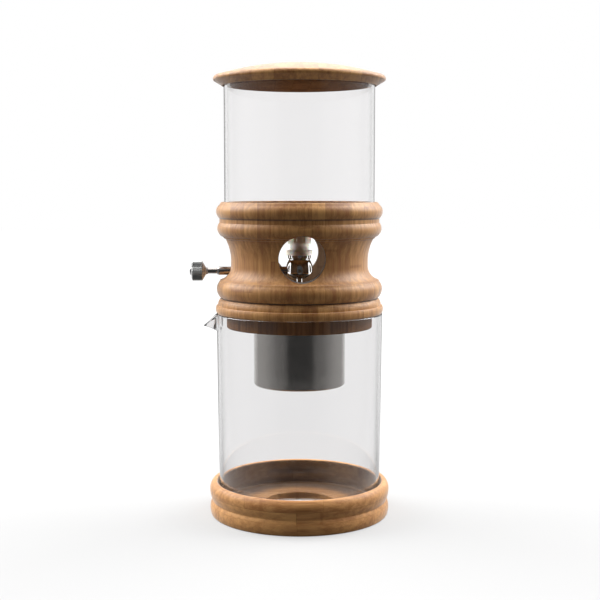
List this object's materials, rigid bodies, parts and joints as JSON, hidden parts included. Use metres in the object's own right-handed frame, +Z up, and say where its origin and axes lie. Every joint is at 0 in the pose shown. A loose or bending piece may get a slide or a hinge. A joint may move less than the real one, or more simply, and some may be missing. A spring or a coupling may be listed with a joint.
{
  "type": "cold drip coffee tower",
  "caption": "Cold drip coffee tower: glass tank over a turned bamboo neck with a needle valve, steel filter cup and glass carafe on a bamboo base.",
  "frame": {"origin": "middle of the base's underside, on the surface it stands on", "axes": "+Z up along the tower's axis; the valve knob and the carafe's spout point towards -X; the window runs along Y"},
  "size_m": [0.1654, 0.15, 0.3724],
  "materials": {
    "bamboo": "laminated bamboo, turned and satin lacquered",
    "bamboo_dark": "laminated bamboo, satin lacquered",
    "glass": "clear borosilicate",
    "steel": "satin stainless sheet",
    "chrome": "polished plated brass",
    "knob_metal": "matt fluted",
    "milky_plastic": "milky, slightly translucent",
    "seal_plastic": "white slippery seal plastic",
    "silicone": "white silicone"
  },
  "bodies": {
    "base": {"base": "bamboo"},
    "carafe": {"carafe": "glass"},
    "filter_ring": {"filter_ring": "bamboo", "ring_plug": "bamboo_dark", "cup_gasket": "silicone"},
    "filter_cup": {"filter_cup": "steel", "cup_mesh": "steel"},
    "spreader": {"spreader": "steel"},
    "neck": {"neck": "bamboo", "tank_shelf": "bamboo_dark", "crown": "bamboo", "tank": "glass", "tank_seat_ring": "silicone", "inlet_washer": "silicone", "inlet_nut": "milky_plastic", "outlet_bushing": "milky_plastic", "bulkhead_nut": "milky_plastic", "valve_body": "chrome", "valve_seat": "seal_plastic", "port_plug": "chrome", "drip_nozzle": "chrome", "stem_sleeve": "chrome", "stem_packing": "seal_plastic"},
    "needle": {"needle": "chrome"},
    "knob": {"stem": "chrome", "knob_shoulder": "chrome", "knob": "knob_metal", "knob_cap": "chrome"},
    "lid": {"lid": "bamboo", "lid_plug": "bamboo_dark", "lid_gasket": "silicone"}
  },
  "joints": [
    {"name": "carafe_lift", "type": "slide", "parent": "base", "child": "carafe", "axis": [0, 0, 1], "range_m": [0, 0.026]},
    {"name": "ring_lift", "type": "slide", "parent": "carafe", "child": "filter_ring", "axis": [0, 0, 1], "range_m": [0, 0.064]},
    {"name": "cup_lift", "type": "slide", "parent": "filter_ring", "child": "filter_cup", "axis": [0, 0, 1], "range_m": [0, 0.079]},
    {"name": "spreader_lift", "type": "slide", "parent": "filter_cup", "child": "spreader", "axis": [0, 0, 1], "range_m": [0, 0.012]},
    {"name": "neck_lift", "type": "slide", "parent": "spreader", "child": "neck", "axis": [0, 0, 1], "range_m": [0, 0.015]},
    {"name": "lid_lift", "type": "slide", "parent": "neck", "child": "lid", "axis": [0, 0, 1], "range_m": [0, 0.015]},
    {"name": "needle_travel", "type": "slide", "parent": "neck", "child": "needle", "axis": [-1, 0, 0], "range_m": [0, 0.0021]},
    {"name": "knob_turn", "type": "hinge", "parent": "needle", "child": "knob", "pos_m": [-0.08, 0, 0.2035], "axis": [-1, 0, 0], "range_deg": [0, 1440]}
  ],
  "couplings": [
    {"joint": "needle_travel", "follows": "knob_turn", "m_per_rad": 0.000079577}
  ]
}
